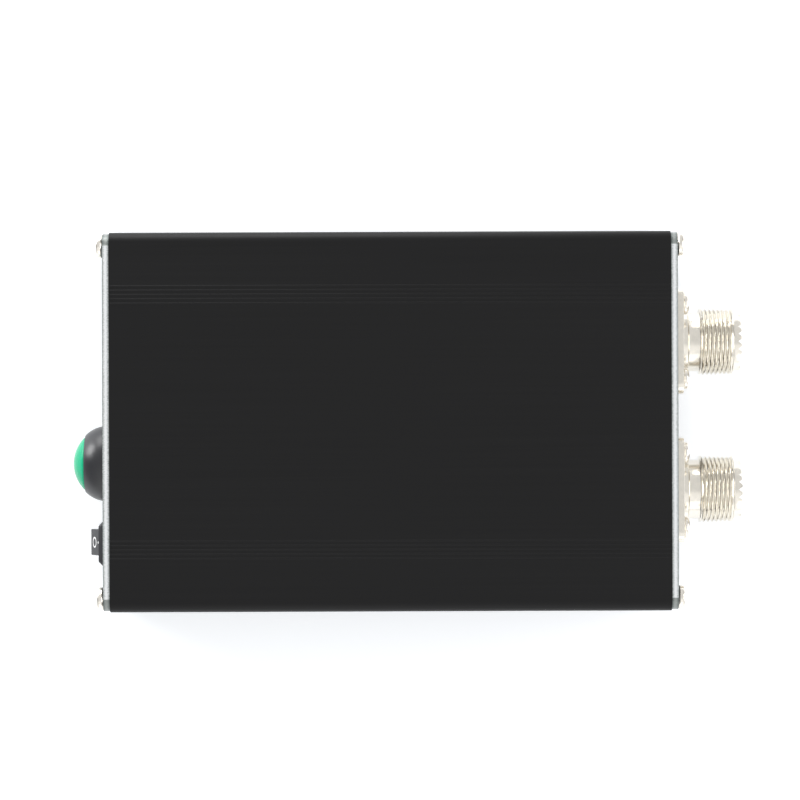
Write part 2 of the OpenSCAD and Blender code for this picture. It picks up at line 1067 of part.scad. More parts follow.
module tuning_capacitors() {
    color([0.75, 0.55, 0.2])
        for (i = [-3:3])
            translate([5 * i, 37, board_top + 4.2]) {
                rotate([0, 90, 0])
                    cylinder(r = 3, h = 2.2, center = true);
                for (side = [-1, 1])
                    translate([-0.3, side * 1.8 - 0.3, -4.2])
                        cube([0.6, 0.6, 2.4]);
            }
}

module at_coupler(side) {
    translate([side * 8.5, coupler_y, coupler_z])
        rotate([0, 90, 0])
            children();
}

module coupler_cores() {
    color([0.3, 0.3, 0.32])
        for (side = [-1, 1])
            at_coupler(side)
                ring_core(6, 3.2, 4.4);
}

module coupler_windings() {
    color([0.72, 0.4, 0.22])
        for (side = [-1, 1])
            at_coupler(side)
                ring_winding(6, 3.2, 4.4, 10, 0.5);
}

// The through lines: short coaxial stubs bent down into the board at both ends.
module coupler_lines() {
    reach = 6.6;
    color([0.85, 0.85, 0.8])
        for (side = [-1, 1])
            translate([side * 8.5, coupler_y, 0])
                wire(
                    [
                        [-reach, 0, board_top],
                        [-reach, 0, coupler_z - 1.6],
                        [-reach + 0.5, 0, coupler_z - 0.5],
                        [-reach + 1.6, 0, coupler_z],
                        [reach - 1.6, 0, coupler_z],
                        [reach - 0.5, 0, coupler_z - 0.5],
                        [reach, 0, coupler_z - 1.6],
                        [reach, 0, board_top]
                    ],
                    0.9,
                    8
                );
}

// A low chip package with its leads, centred at the origin, on the board.
module chip(size, leads) {
    translate([-size.x / 2, -size.y / 2, 0.2])
        cube(size);
    for (i = [0:leads - 1], side = [-1, 1])
        translate([
            (i - (leads - 1) / 2) * size.x / leads - 0.2,
            side * (size.y / 2 + 0.5) - 0.6,
            0
        ])
            cube([0.4, 1.2, 0.9]);
}

module microcontroller() {
    color([0.15, 0.15, 0.16])
        translate([-6, -42, board_top])
            chip([17.9, 7.5, 2.3], 14);
}

module relay_drivers() {
    color([0.15, 0.15, 0.16])
        for (side = [-1, 1])
            translate([side * 7 - 2, -30, board_top])
                chip([9.9, 3.9, 1.5], 8);
}

module voltage_regulator() {
    color([0.15, 0.15, 0.16])
        translate([10, 0, board_top]) {
            translate([-3.3, -56.5, 0.6])
                cube([6.6, 6, 2.3]);
            for (i = [-1, 1])
                translate([i * 2.3 - 0.4, -51, 0])
                    cube([0.8, 2.6, 0.9]);
        }
}

module supply_capacitors() {
    color([0.2, 0.22, 0.5])
        for (i = [0, 1])
            translate([-6 + 12 * i, -10, board_top])
                cylinder(r = 2.5, h = 7);
}

module board_headers() {
    color([0.1, 0.1, 0.1]) {
        translate([-display_x, -50, board_top])
            header(4);
        translate([button_x - 4, -38, board_top])
            header(2);
        translate([14, -34, board_top])
            header(2);
    }
}

// A row of pins in a low block, centred at the origin.
module header(pins) {
    pitch = 2.54;
    translate([-pins * pitch / 2, -pitch / 2, 0])
        cube([pins * pitch, pitch, 8.6]);
}

top_shell();
bottom_shell();
front_panel();
rear_panel();
front_panel_screws();
rear_panel_screws();
display_window();
display_glass();
display_board();
display_spacers();
display_screws();
display_cable();
button_body();
button_cap();
button_plunger();
button_spring();
button_base();
button_terminals();
button_nut();
button_wires();
rocker_housing();
rocker_lever();
rocker_plunger();
rocker_contact();
rocker_terminals();
rocker_wires();
input_socket_shell();
input_socket_insulator();
input_socket_contact();
antenna_socket_shell();
antenna_socket_insulator();
antenna_socket_contact();
socket_screws();
socket_nuts();
socket_ground_lugs();
socket_wires();
jack_body();
jack_pin();
jack_nut();
jack_wires();
main_board();
relays();
relay_leads();
toroid_cores();
toroid_windings();
air_coils();
tuning_capacitors();
coupler_cores();
coupler_windings();
coupler_lines();
microcontroller();
relay_drivers();
voltage_regulator();
supply_capacitors();
board_headers();
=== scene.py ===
import json
import math

import bmesh
import bpy
from mathutils import Matrix, Vector


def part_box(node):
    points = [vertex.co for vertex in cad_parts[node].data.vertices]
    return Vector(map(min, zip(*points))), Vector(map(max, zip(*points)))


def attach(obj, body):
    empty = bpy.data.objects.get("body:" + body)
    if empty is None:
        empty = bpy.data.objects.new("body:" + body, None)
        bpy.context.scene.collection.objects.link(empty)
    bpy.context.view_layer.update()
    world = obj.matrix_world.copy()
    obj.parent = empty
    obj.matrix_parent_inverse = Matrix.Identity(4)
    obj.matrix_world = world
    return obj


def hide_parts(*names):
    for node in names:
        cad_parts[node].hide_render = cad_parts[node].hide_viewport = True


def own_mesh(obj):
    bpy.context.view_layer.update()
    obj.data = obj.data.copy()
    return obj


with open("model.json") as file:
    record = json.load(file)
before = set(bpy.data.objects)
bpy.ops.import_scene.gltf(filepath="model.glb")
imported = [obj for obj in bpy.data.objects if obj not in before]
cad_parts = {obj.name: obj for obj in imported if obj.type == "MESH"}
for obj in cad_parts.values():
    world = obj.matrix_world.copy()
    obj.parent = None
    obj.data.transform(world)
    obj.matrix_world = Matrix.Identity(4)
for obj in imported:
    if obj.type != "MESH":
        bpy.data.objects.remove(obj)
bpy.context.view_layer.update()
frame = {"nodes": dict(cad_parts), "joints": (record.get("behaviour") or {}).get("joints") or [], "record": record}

MM = 0.001
MOUNTS = {m["name"]: m for m in frame["record"]["mounts"]}
JOINTS = {j["name"]: j for j in frame["joints"]}

# ---- Places, from the frame ----

shell_low, shell_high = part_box("top_shell")
front_low, front_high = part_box("front_panel")
mid_z = (front_low.z + front_high.z) / 2
front_face = front_low.y
rear_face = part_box("rear_panel")[1].y

# ---- Sizes that the frame doesn't hold ----

# The extrusion's section. Heights are from its middle, where the halves meet with a tongue and a groove.
SIDE_WALL = 2.2 * MM
FACE_WALL = 2.0 * MM
EDGE_R = 2.4 * MM
SEAM = 0.15 * MM
TONGUE_W = 0.8 * MM
TONGUE_H = 1.0 * MM
GROOVE_H = 1.3 * MM
GROOVE_PLAY = 0.1 * MM
# Corner bosses that the panel screws bite into, and the rails that hold the boards.
BOSS = 3.3 * MM
BOSS_DEPTH = 3.5 * MM
RAIL_LOW = 10.5 * MM
RAIL_HIGH = 11.7 * MM
RAIL_REACH = 1.6 * MM
# Two bands of fine ribs on the upper face. RIB_H is the height that the frame's box allows for them.
RIB_BAND = 29.5 * MM
RIB_COUNT = 5
RIB_PITCH = 1.0 * MM
RIB_HALF = 0.3 * MM
RIB_H = 0.2 * MM
RIB_CREST = 0.11 * MM
# End panels. Their punched corners sit a nick inside the sheared sides.
TAP_R = 1.5 * MM
HOLE_R = 1.65 * MM
CORNER = Vector((41.0 * MM, 16.0 * MM))
PANEL_R = 2.8 * MM
PANEL_EDGE = 0.08 * MM
NICK = 0.12 * MM
NICK_TURN = 6
# Openings in the panels, as radii or as (width, height).
BUTTON_HOLE_R = 6.0 * MM
ROCKER_HOLE = (9.2 * MM, 14.4 * MM)
DISPLAY_HOLE = (26.2 * MM, 15.2 * MM)
INLET_HOLE_R = 4.05 * MM
# Pan-head screws.
SCREW_R = 1.46 * MM
SCREW_L = 8.0 * MM
SCREW_PITCH = 0.5 * MM
HEAD_R = 2.8 * MM
HEAD_H = 2.0 * MM
HEAD_UNDERCUT = 0.34 * MM
FLANGE_HEAD_R = 2.5 * MM
FLANGE_HEAD_H = 1.5 * MM


# ---- Mesh helpers ----

def centre_of(node):
    """The middle of a CAD node as (x, z)."""
    low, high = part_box(node)
    return (low.x + high.x) / 2, (low.z + high.z) / 2


def add_object(name, mesh, *materials):
    """A new object in the scene that carries the mesh."""
    obj = bpy.data.objects.new(name, mesh)
    bpy.context.scene.collection.objects.link(obj)
    for mat in materials:
        mesh.materials.append(mat)
    return obj


def from_bmesh(name, bm, *materials):
    """An object from a finished bmesh, with its faces turned outwards."""
    bmesh.ops.recalc_face_normals(bm, faces=bm.faces)
    mesh = bpy.data.meshes.new(name)
    bm.to_mesh(mesh)
    bm.free()
    return add_object(name, mesh, *materials)


def smooth(obj, angle=32):
    """Smooth shading, with edges sharper than angle left crisp."""
    obj.data.shade_smooth()
    obj.data.set_sharp_from_angle(angle=math.radians(angle))
    return obj


def round_edges(bm, width, segments=3, angle=30):
    """Rounds every edge that bends by more than angle."""
    edges = [e for e in bm.edges if len(e.link_faces) == 2 and e.calc_face_angle(0) > math.radians(angle)]
    bmesh.ops.bevel(
        bm, geom=edges, offset=width, segments=segments, profile=0.5, affect="EDGES", clamp_overlap=True
    )


def arc(cx, cz, r, start, end, steps):
    """Points on an arc, angles in degrees."""
    return [
        (
            cx + r * math.cos(math.radians(start + (end - start) * i / steps)),
            cz + r * math.sin(math.radians(start + (end - start) * i / steps)),
        )
        for i in range(steps + 1)
    ]


def rounded_rect(w, h, r, steps=8):
    """An anticlockwise rounded rectangle about the origin."""
    x = w / 2 - r
    z = h / 2 - r
    return arc(x, z, r, 0, 90, steps) + arc(-x, z, r, 90, 180, steps) \
        + arc(-x, -z, r, 180, 270, steps) + arc(x, -z, r, 270, 360, steps)


def moved(loop, x, z):
    """A loop shifted by x and z."""
    return [(px + x, pz + z) for px, pz in loop]


def hole(x, z, r, steps=48):
    """A clockwise circle, for an opening."""
    return moved(arc(0, 0, r, 360, 0, steps)[:-1], x, z)


def plate(name, loops, y_low, y_high, edge, *materials):
    """A solid from y_low to y_high, edges rounded. The first loop is its outline, the others are openings."""
    curve = bpy.data.curves.new(name, "CURVE")
    curve.dimensions = "2D"
    curve.fill_mode = "BOTH"
    curve.extrude = (y_high - y_low) / 2 - edge
    curve.bevel_depth = edge
    curve.bevel_resolution = 2
    curve.offset = -edge
    for loop in loops:
        spline = curve.splines.new("POLY")
        spline.points.add(len(loop) - 1)
        for point, (x, z) in zip(spline.points, loop):
            point.co = (x, z, 0, 1)
        spline.use_cyclic_u = True
    drawn = bpy.data.objects.new(name, curve)
    bpy.context.scene.collection.objects.link(drawn)
    graph = bpy.context.evaluated_depsgraph_get()
    mesh = bpy.data.meshes.new_from_object(drawn.evaluated_get(graph))
    bpy.data.objects.remove(drawn)
    bm = bmesh.new()
    bm.from_mesh(mesh)
    bmesh.ops.remove_doubles(bm, verts=bm.verts, dist=1e-7)
    middle = Matrix.Translation((0, (y_low + y_high) / 2, 0))
    bm.transform(middle @ Matrix.Rotation(math.radians(90), 4, "X"))
    bpy.data.meshes.remove(mesh)
    return from_bmesh(name, bm, *materials)


def lathe(bm, profile, centre, segments=96, closed=True, radius=None):
    """Turns a profile of (radius, y) about an axis along Y through centre (x, z).

    radius(r, y, angle) may vary the radius; closed joins the profile's last point to its first.
    """
    rings = []
    for r, y in profile:
        if r == 0:
            rings.append([bm.verts.new((centre[0], y, centre[1]))])
            continue
        ring = []
        for k in range(segments):
            a = 2 * math.pi * k / segments
            ra = radius(r, y, a) if radius else r
            ring.append(bm.verts.new((centre[0] + ra * math.cos(a), y, centre[1] + ra * math.sin(a))))
        rings.append(ring)
    pairs = list(zip(rings, rings[1:]))
    if closed:
        pairs.append((rings[-1], rings[0]))
    for one, two in pairs:
        for k in range(segments):
            n = (k + 1) % segments
            corners = [one[k % len(one)], one[n % len(one)], two[n % len(two)], two[k % len(two)]]
            face = list(dict.fromkeys(corners))
            if len(face) > 2:
                bm.faces.new(face)


def turned(name, profile, centre, *materials, segments=96, closed=True, radius=None, angle=32):
    """A smooth piece turned about an axis along Y."""
    bm = bmesh.new()
    lathe(bm, profile, centre, segments, closed, radius)
    return smooth(from_bmesh(name, bm, *materials), angle)


def loft(bm, rings):
    """Joins rings of equal length in their order and closes both ends."""
    for one, two in zip(rings, rings[1:]):
        for k in range(len(one)):
            n = (k + 1) % len(one)
            bm.faces.new((one[k], one[n], two[n], two[k]))
    bm.faces.new(rings[0])
    bm.faces.new(rings[-1][::-1])


def cut(obj, *tools):
    """Takes the tools away from obj and deletes them."""
    for tool in tools:
        mod = obj.modifiers.new("cut", "BOOLEAN")
        mod.operation = "DIFFERENCE"
        mod.solver = "EXACT"
        mod.object = tool
    graph = bpy.context.evaluated_depsgraph_get()
    mesh = bpy.data.meshes.new_from_object(obj.evaluated_get(graph))
    obj.modifiers.clear()
    old = obj.data
    obj.data = mesh
    bpy.data.meshes.remove(old)
    for tool in tools:
        bpy.data.objects.remove(tool)
    return obj


def copies(name, source, places, *materials):
    """One object made of a copy of source at each place, a 4x4 matrix."""
    bm = bmesh.new()
    for place in places:
        before = len(bm.verts)
        bm.from_mesh(source.data)
        bm.verts.ensure_lookup_table()
        bmesh.ops.transform(bm, matrix=place, verts=bm.verts[before:])
    bpy.data.objects.remove(source)
    return from_bmesh(name, bm, *materials)


# ---- Materials ----

def shader(name, color, **values):
    """A material with its constant values on the shader itself."""
    mat = bpy.data.materials.new(name)
    mat.use_nodes = True
    bsdf = mat.node_tree.nodes["Principled BSDF"]
    bsdf.inputs["Base Color"].default_value = (*color, 1)
    for key, value in values.items():
        bsdf.inputs[key.replace("_", " ")].default_value = value
    return mat


def grain(mat, scale, detail=3, roughness=0.5):
    """Noise in the object's own coordinates, with its own scale along X, Y and Z, in cycles per metre."""
    tree = mat.node_tree
    place = tree.nodes.new("ShaderNodeTexCoord")
    stretch = tree.nodes.new("ShaderNodeMapping")
    stretch.inputs["Scale"].default_value = scale
    noise = tree.nodes.new("ShaderNodeTexNoise")
    noise.inputs["Scale"].default_value = 1
    noise.inputs["Detail"].default_value = detail
    noise.inputs["Roughness"].default_value = roughness
    tree.links.new(place.outputs["Object"], stretch.inputs["Vector"])
    tree.links.new(stretch.outputs["Vector"], noise.inputs["Vector"])
    return noise.outputs["Fac"]


def spread(mat, fac, low, high):
    """Maps the middle of a noise to the range from low to high."""
    node = mat.node_tree.nodes.new("ShaderNodeMapRange")
    node.inputs["From Min"].default_value = 0.3
    node.inputs["From Max"].default_value = 0.7
    node.inputs["To Min"].default_value = low
    node.inputs["To Max"].default_value = high
    mat.node_tree.links.new(fac, node.inputs["Value"])
    return node.outputs["Result"]


def color_by(mat, fac, low, high):
    """Mixes the base colour by a noise, from low to high."""
    tree = mat.node_tree
    mix = tree.nodes.new("ShaderNodeMix")
    mix.data_type = "RGBA"
    mix.inputs["A"].default_value = (*low, 1)
    mix.inputs["B"].default_value = (*high, 1)
    tree.links.new(spread(mat, fac, 0, 1), mix.inputs["Factor"])
    tree.links.new(mix.outputs["Result"], tree.nodes["Principled BSDF"].inputs["Base Color"])


def rough_by(mat, fac, low, high):
    """Varies the roughness by a noise, from low to high."""
    tree = mat.node_tree
    tree.links.new(spread(mat, fac, low, high), tree.nodes["Principled BSDF"].inputs["Roughness"])


def bump_by(mat, fac, strength, distance):
    """Raises the surface by a noise; distance is in metres."""
    tree = mat.node_tree
    bump = tree.nodes.new("ShaderNodeBump")
    bump.inputs["Strength"].default_value = strength
    bump.inputs["Distance"].default_value = distance
    tree.links.new(fac, bump.inputs["Height"])
    tree.links.new(bump.outputs["Normal"], tree.nodes["Principled BSDF"].inputs["Normal"])


def anodised_case():
    """Black anodising over drawn lines that run along the extrusion."""
    mat = shader("anodised_case", (0.0082, 0.0082, 0.0086), Roughness=0.4, Specular_IOR_Level=0.16)
    draw_lines = grain(mat, (3000, 14, 3000), 4, 0.6)
    color_by(mat, draw_lines, (0.0075, 0.0075, 0.0079), (0.0089, 0.0089, 0.0093))
    rough_by(mat, draw_lines, 0.36, 0.46)
    bump_by(mat, draw_lines, 0.12, 0.00003)
    return mat


def anodised_panel():
    """Black anodising over a blasted sheet."""
    mat = shader("anodised_panel", (0.012, 0.012, 0.0125), Roughness=0.5)
    blast = grain(mat, (5000, 5000, 5000), 3)
    color_by(mat, blast, (0.010, 0.010, 0.0105), (0.014, 0.014, 0.0145))
    rough_by(mat, blast, 0.46, 0.56)
    bump_by(mat, blast, 0.2, 0.00002)
    return mat


def painted_shade_near_faces(mat, fac):
    """Adds to a noise a level that rises from both faces of a panel to the middle of its thickness, so that
    painted shade darkens the edge near both faces.
    """
    tree = mat.node_tree
    place = tree.nodes.new("ShaderNodeTexCoord")
    split = tree.nodes.new("ShaderNodeSeparateXYZ")
    middle = tree.nodes.new("ShaderNodeMath")
    middle.operation = "PINGPONG"
    middle.inputs[1].default_value = 0.5
    weaker = tree.nodes.new("ShaderNodeMath")
    weaker.operation = "MULTIPLY"
    weaker.inputs[1].default_value = 0.6
    total = tree.nodes.new("ShaderNodeMath")
    total.operation = "MULTIPLY_ADD"
    total.inputs[1].default_value = 1.0
    tree.links.new(place.outputs["Generated"], split.inputs["Vector"])
    tree.links.new(split.outputs["Y"], middle.inputs[0])
    tree.links.new(fac, weaker.inputs[0])
    tree.links.new(middle.outputs["Value"], total.inputs[0])
    tree.links.new(weaker.outputs["Value"], total.inputs[2])
    return total.outputs["Value"]


def bare_edge(name, dark, light):
    """Bare aluminium, mottled, and brighter along the middle of the sheet, with painted shade darkening it toward
    both faces.
    """
    mat = shader(name, light, Metallic=0.35, Roughness=0.4)
    mottle = grain(mat, (3400, 2200, 3400), 3, 0.7)
    # Painted shade: the edge colour darkens toward both faces of the sheet and is lightest along its middle.
    color_by(mat, painted_shade_near_faces(mat, mottle), dark, light)
    rough_by(mat, mottle, 0.3, 0.5)
    bump_by(mat, mottle, 0.35, 0.00005)
    return mat


def nickel(name, color, low, high):
    """Plated metal with a faint uneven film."""
    mat = shader(name, color, Metallic=1.0, Roughness=low)
    film = grain(mat, (900, 900, 900), 3)
    color_by(mat, film, [c * 0.93 for c in color], color)
    rough_by(mat, film, low, high)
    bump_by(mat, film, 0.05, 0.00002)
    return mat


def moulded(name, color, low=0.4, high=0.52, **values):
    """Moulded plastic with a faint uneven surface."""
    mat = shader(name, color, Roughness=low, **values)
    skin = grain(mat, (2500, 2500, 2500), 3)
    color_by(mat, skin, [c * 0.92 for c in color], [min(1.0, c * 1.06) for c in color])
    rough_by(mat, skin, low, high)
    bump_by(mat, skin, 0.08, 0.00002)
    return mat


def wound_copper():
    """Enamelled copper wire."""
    mat = shader("enamelled_copper", (0.72, 0.30, 0.13), Metallic=1.0, Roughness=0.25, Coat_Weight=0.5)
    color_by(mat, grain(mat, (700, 700, 700), 3), (0.62, 0.24, 0.10), (0.8, 0.36, 0.17))
    return mat


CASE = anodised_case()
PANEL = anodised_panel()
EDGE = bare_edge("sheared_edge", (0.20, 0.23, 0.22), (0.80, 0.82, 0.83))
# A darker copy of the edge material for the rounded panel corners: painted shade where the corners turn away from
# the light.
EDGE_CORNER_SHADED = bare_edge("punched_corner", (0.09, 0.11, 0.105), (0.27, 0.29, 0.28))
SOCKET = nickel("socket_nickel", (0.86, 0.82, 0.74), 0.16, 0.24)
SCREW = nickel("screw_nickel", (0.88, 0.84, 0.77), 0.18, 0.28)
NUT = nickel("nut_nickel", (0.72, 0.71, 0.69), 0.28, 0.4)
BRASS = nickel("contact_brass", (0.86, 0.66, 0.30), 0.2, 0.3)
PTFE = moulded("socket_insulation", (0.82, 0.80, 0.73), 0.4, 0.5)
GREEN = moulded("green_cap", (0.008, 0.41, 0.205), 0.16, 0.24, Specular_IOR_Level=0.25)
BEZEL = moulded("black_gloss", (0.015, 0.016, 0.020), 0.30, 0.36, Specular_IOR_Level=0.6)
BLACK = moulded("black_plastic", (0.022, 0.022, 0.026), 0.42, 0.52)
LEVER = moulded("rocker_plastic", (0.017, 0.017, 0.021), 0.36, 0.44, Specular_IOR_Level=0.3)
MARK = moulded("marking_white", (0.85, 0.85, 0.85), 0.45, 0.55)
COPPER = wound_copper()
IRON = moulded("iron_powder", (0.42, 0.05, 0.035), 0.4, 0.5)
FERRITE = moulded("ferrite", (0.06, 0.06, 0.065), 0.5, 0.6)
WHITE = moulded("white_plastic", (0.78, 0.78, 0.75), 0.4, 0.5)
WIRE = moulded("wire_insulation", (0.42, 0.03, 0.03), 0.35, 0.45)
CERAMIC = moulded("ceramic_dip", (0.62, 0.36, 0.09), 0.35, 0.45)
SLEEVE = moulded("capacitor_sleeve", (0.02, 0.03, 0.16), 0.25, 0.35)
BLUE_BOARD = moulded("blue_board", (0.02, 0.06, 0.24), 0.25, 0.35)
GREEN_BOARD = moulded("green_board", (0.015, 0.13, 0.05), 0.25, 0.35)
CELL = moulded("display_cell", (0.006, 0.006, 0.008), 0.06, 0.1)
WINDOW = moulded("window_acrylic", (0.12, 0.13, 0.15), 0.04, 0.08, Transmission_Weight=0.85)


# ---- Case ----

def shell_outline(tongue_side, ribbed):
    """The upper shell's section about the case's middle, anticlockwise from the right end of the seam."""
    half_w = shell_high.x
    half_h = shell_high.z - RIB_H - mid_z
    inner_x = half_w - SIDE_WALL
    inner_z = half_h - FACE_WALL
    ribs = []
    for band in (RIB_BAND, -RIB_BAND) if ribbed else ():
        for i in range(RIB_COUNT):
            x = band - (i - (RIB_COUNT - 1) / 2) * RIB_PITCH
            for k in range(9):
                t = 1 - k / 4
                ribs.append((x + t * RIB_HALF, half_h + RIB_CREST * (0.5 + 0.5 * math.cos(math.pi * t))))

    def side(sign):
        return [
            (sign * inner_x, SEAM),
            (sign * inner_x, RAIL_LOW),
            (sign * (inner_x - RAIL_REACH), RAIL_LOW),
            (sign * (inner_x - RAIL_REACH), RAIL_HIGH),
            (sign * inner_x, RAIL_HIGH),
            (sign * inner_x, inner_z - BOSS_DEPTH),
            (sign * (inner_x - BOSS), inner_z - BOSS_DEPTH),
            (sign * (inner_x - BOSS), inner_z),
        ]

    def joint(sign):
        """The tongue, or the groove that takes it, from the outside in."""
        wall = half_w - SIDE_WALL / 2
        half = TONGUE_W / 2
        end = -TONGUE_H
        if sign != tongue_side:
            half += GROOVE_PLAY
            end = GROOVE_H
        return [
            (sign * (wall + half), SEAM),
            (sign * (wall + half), end),
            (sign * (wall - half), end),
            (sign * (wall - half), SEAM),
        ]

    return (
        [(half_w, SEAM)]
        + arc(half_w - EDGE_R, half_h - EDGE_R, EDGE_R, 0, 90, 12)
        + ribs
        + arc(-half_w + EDGE_R, half_h - EDGE_R, EDGE_R, 90, 180, 12)
        + [(-half_w, SEAM)]
        + joint(-1)
        + side(-1)
        + side(1)[::-1]
        + joint(1)[::-1]
    )


def case_shell(name, node, upper):
    """One half of the split extrusion; the lower half is the upper one turned over, without its ribs."""
    loops = [shell_outline(1 if upper else -1, ribbed=upper)]
    loops += [hole(sign * CORNER.x, CORNER.y, TAP_R, 24) for sign in (-1, 1)]
    if not upper:
        loops = [[(x, -z) for x, z in reversed(loop)] for loop in loops]
    loops = [moved(loop, 0, mid_z) for loop in loops]
    shell = smooth(plate(name, loops, shell_low.y, shell_high.y, 0.05 * MM, CASE), 40)
    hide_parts(node)
    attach(shell, "case")


def end_panel(name, node, openings):
    """A blasted black panel with bare sheared edges and punched corners that sit slightly inside them; the rounded
    corners carry a darker copy of the edge material, which is painted shade.
    """
    low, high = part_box(node)
    w = high.x - low.x
    h = high.z - low.z
    sides = []
    for sx, sz, start in ((1, 1, 0), (-1, 1, 90), (-1, -1, 180), (1, -1, 270)):
        x = sx * (w / 2 - PANEL_R)
        z = sz * (h / 2 - PANEL_R)
        begin = (math.cos(math.radians(start)), math.sin(math.radians(start)))
        finish = (-begin[1], begin[0])
        sides.append((x + begin[0] * PANEL_R, z + begin[1] * PANEL_R))
        sides += arc(x, z, PANEL_R - NICK, start + NICK_TURN, start + 90 - NICK_TURN, 8)
        sides.append((x + finish[0] * PANEL_R, z + finish[1] * PANEL_R))
    corners = [hole(sx * CORNER.x, sz * CORNER.y, HOLE_R) for sx in (-1, 1) for sz in (-1, 1)]
    loops = [moved(loop, 0, mid_z) for loop in [sides] + corners + openings]
    panel = plate(name, loops, low.y, high.y, PANEL_EDGE, PANEL, EDGE, EDGE_CORNER_SHADED)
    for face in panel.data.polygons:
        rounded = abs(face.center.x) > w / 2 - PANEL_R and abs(face.center.z - mid_z) > h / 2 - PANEL_R
        if abs(face.normal.y) > 0.8:
            face.material_index = 0
        elif rounded:
            # The rounded corners take the darker copy of the edge material, painted shade.
            face.material_index = 2
        else:
            face.material_index = 1
    smooth(panel, 12)
    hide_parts(node)
    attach(panel, "case")


def front_openings():
    """The button, rocker and display openings, about the panel's middle height."""
    return [
        hole(centre_of("button_body")[0], 0, BUTTON_HOLE_R),
        moved(rounded_rect(*ROCKER_HOLE, 0.4 * MM)[::-1], centre_of("rocker_lever")[0], 0),
        moved(rounded_rect(*DISPLAY_HOLE, 1.0 * MM)[::-1], centre_of("display_glass")[0], 0),
    ]


def rear_openings():
    """The inlet and socket openings, about the panel's middle height."""
    openings = [hole(centre_of("jack_body")[0], 0, INLET_HOLE_R, 40)]
    for mount in SOCKETS.values():
        x = mount["pos_m"][0]
        openings.append(hole(x, 0, SPIGOT_R + SPIGOT_PLAY))
        openings += [hole(x + dx, dz, HOLE_R, 32) for dx, dz in FLANGE_HOLES]
    return openings


# ---- Screws ----

def cross_recess(width, length, depth, top):
    """Two tapered bars that cut a driver recess into a head facing -Y."""
    bars = []
    for angle in (0, 90):
        turn = Matrix.Rotation(math.radians(angle), 3, "Y")
        bm = bmesh.new()
        rings = []
        for y, w, h in ((top - 0.2 * MM, width, length), (top + depth, 0.6 * width, 0.45 * length)):
            corners = ((-w / 2, -h / 2), (w / 2, -h / 2), (w / 2, h / 2), (-w / 2, h / 2))
            rings.append([bm.verts.new(turn @ Vector((x, y, z))) for x, z in corners])
        loft(bm, rings)
        bars.append(from_bmesh("recess", bm))
    return bars


def pan_screw(name, head_r, head_h, shank_r, length, mat):
    """A pan-head screw at the origin, its head in front of y = 0 and its thread along +Y."""
    rim = 0.46 * head_h
    profile = [(0, -head_h)]
    for k in range(1, 9):
        a = math.radians(90 * k / 8)
        profile.append((head_r * math.sin(a) ** 0.9, -rim - (head_h - rim) * math.cos(a)))
    profile += [(head_r, -HEAD_UNDERCUT), (head_r - 0.3 * MM, 0), (shank_r, 0)]
    turns = int(length / SCREW_PITCH)
    for k in range(turns):
        y = 0.3 * MM + k * (length - 0.8 * MM) / turns
        profile += [(shank_r, y), (shank_r - 0.18 * MM, y + SCREW_PITCH / 2)]
    profile += [(shank_r, length - 0.5 * MM), (shank_r - 0.45 * MM, length), (0, length)]
    bm = bmesh.new()
    lathe(bm, profile, (0, 0), 40, closed=False)
    screw = from_bmesh(name, bm, mat)
    return cut(screw, *cross_recess(0.24 * head_r, 1.1 * head_r, 0.62 * head_h, -head_h))


def screw_set(name, node, source, centres, y, facing):
    """Copies of a screw at centres (x, z); facing is -1 where its head faces -Y and 1 where it faces +Y."""
    places = []
    for i, (x, z) in enumerate(centres):
        turn = Matrix.Rotation(math.radians(0 if facing < 0 else 180), 4, "Z")
        spin = Matrix.Rotation(math.radians(17 + 53 * i), 4, "Y")
        places.append(Matrix.Translation((x, y, z)) @ turn @ spin)
    screws = smooth(copies(name, source, places, SCREW), 35)
    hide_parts(node)
    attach(screws, "case")


def panel_screws():
    """The four corner screws of each panel."""
    centres = [(sx * CORNER.x, mid_z + sz * CORNER.y) for sx in (-1, 1) for sz in (-1, 1)]
    for name, node, y, facing in (
        ("front_screws", "front_panel_screws", front_face, -1),
        ("rear_screws", "rear_panel_screws", rear_face, 1),
    ):
        source = pan_screw("screw", HEAD_R, HEAD_H, SCREW_R, SCREW_L, SCREW)
        screw_set(name, node, source, centres, y, facing)


# ---- Coaxial sockets ----

SOCKETS = {"input": MOUNTS["input_thread"], "antenna": MOUNTS["antenna_thread"]}
# Lengths along the socket are from the panel's outer face, or from the part before.
FLANGE_T = 1.9 * MM
FLANGE_SIDE = 24.6 * MM
FLANGE_R = 2.6 * MM
FLANGE_HOLE = 8.75 * MM
NECK_R = 7.0 * MM
COLLAR_R = 7.5 * MM
COLLAR_L = 1.6 * MM
THREAD_PITCH = 1.0 * MM
THREAD_DEPTH = 0.62 * MM
MOUTH_R = 6.1 * MM
SPIGOT_R = 7.8 * MM
SPIGOT_L = 3.6 * MM
SPIGOT_PLAY = 0.15 * MM
CUP_R = 1.7 * MM
CUP_BORE_R = 1.1 * MM
CUP_DEPTH = 3.0 * MM
NOTCHES = 24
NOTCH_DEPTH = 0.9 * MM
NOTCH_HALF = 0.75 * MM
FLANGE_HOLES = [(sx * FLANGE_HOLE, sz * FLANGE_HOLE) for sx in (-1, 1) for sz in (-1, 1)]


def thread_radius(start, end, outer):
    """The radius of a V thread between start and end, faded out at its first and last half turns."""
    def radius(r, y, a):
        if not start < y < end:
            return r
        phase = ((y - start) / THREAD_PITCH - a / (2 * math.pi)) % 1
        valley = min(1.0, max(0.0, 1.3 * (1 - 2 * abs(phase - 0.5)) - 0.1))
        fade = min(1.0, (y - start) / (0.7 * THREAD_PITCH), (end - y) / (0.7 * THREAD_PITCH))
        return outer - THREAD_DEPTH * valley * fade - 0.3 * MM * max(0.0, 0.35 - fade)
    return radius


